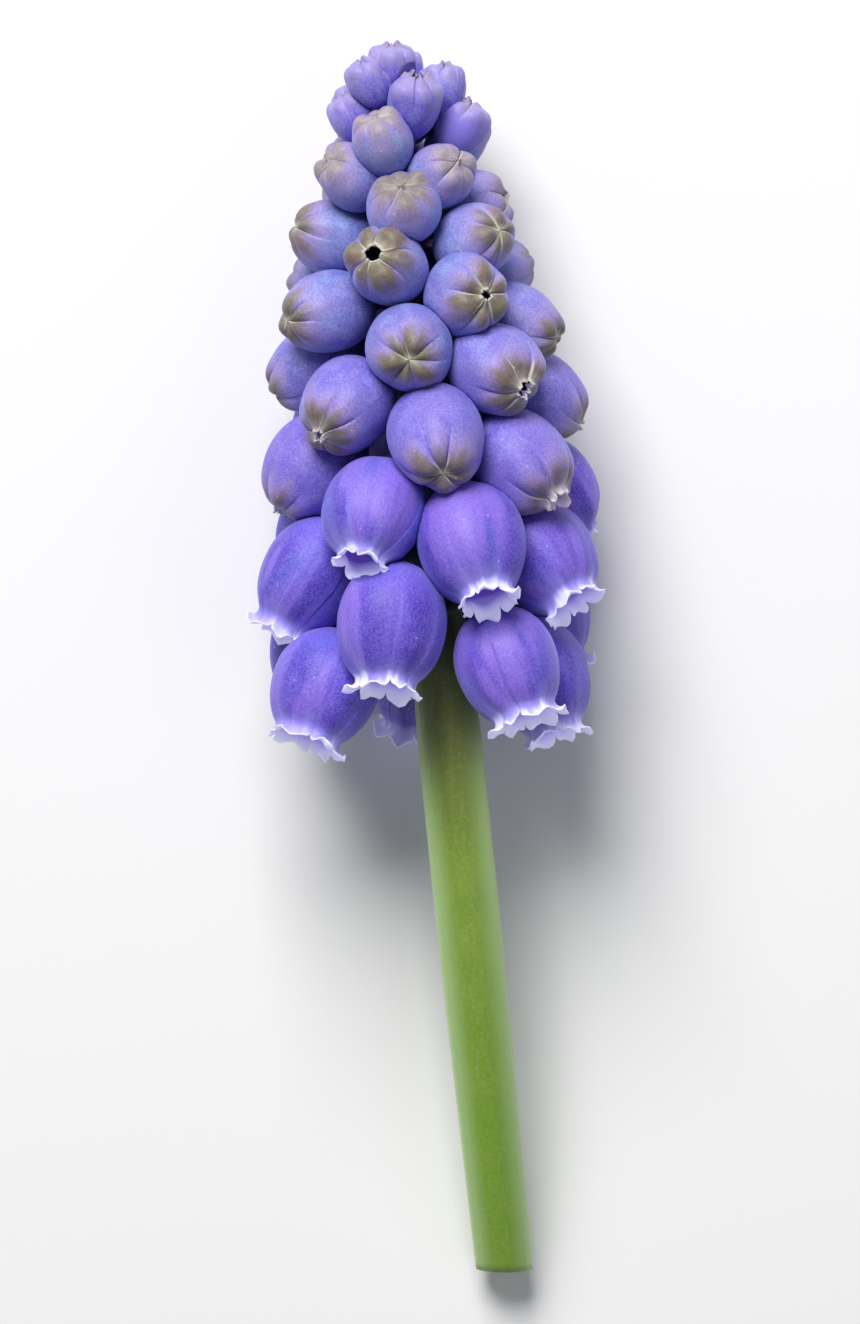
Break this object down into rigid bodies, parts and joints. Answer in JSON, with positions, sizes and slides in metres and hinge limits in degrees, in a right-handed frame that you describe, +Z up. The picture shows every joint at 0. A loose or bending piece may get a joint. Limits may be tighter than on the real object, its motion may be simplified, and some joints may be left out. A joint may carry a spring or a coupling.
{
  "type": "grape hyacinth flower",
  "caption": "Cut grape hyacinth lying down: dense cone of violet-blue urn-shaped florets with white rims, blue buds and a lilac tip on a smooth green stem.",
  "frame": {"origin": "on the resting surface, under the centre of the bounding box", "axes": "+Y along the flower from the cut end of the stem to the tip of the head, +Z up from the resting surface, +X to the right when seen from above with the tip away from the viewer"},
  "size_m": [0.016, 0.0572, 0.0141],
  "materials": {
    "stem_green": "satin",
    "bell_violet": "satin",
    "bud_blue": "matte",
    "crown_lilac": "matte"
  },
  "bodies": {
    "root": {"flower_stem": "stem_green", "open_bells": "bell_violet", "closed_buds": "bud_blue", "sterile_crown": "crown_lilac"}
  },
  "joints": []
}
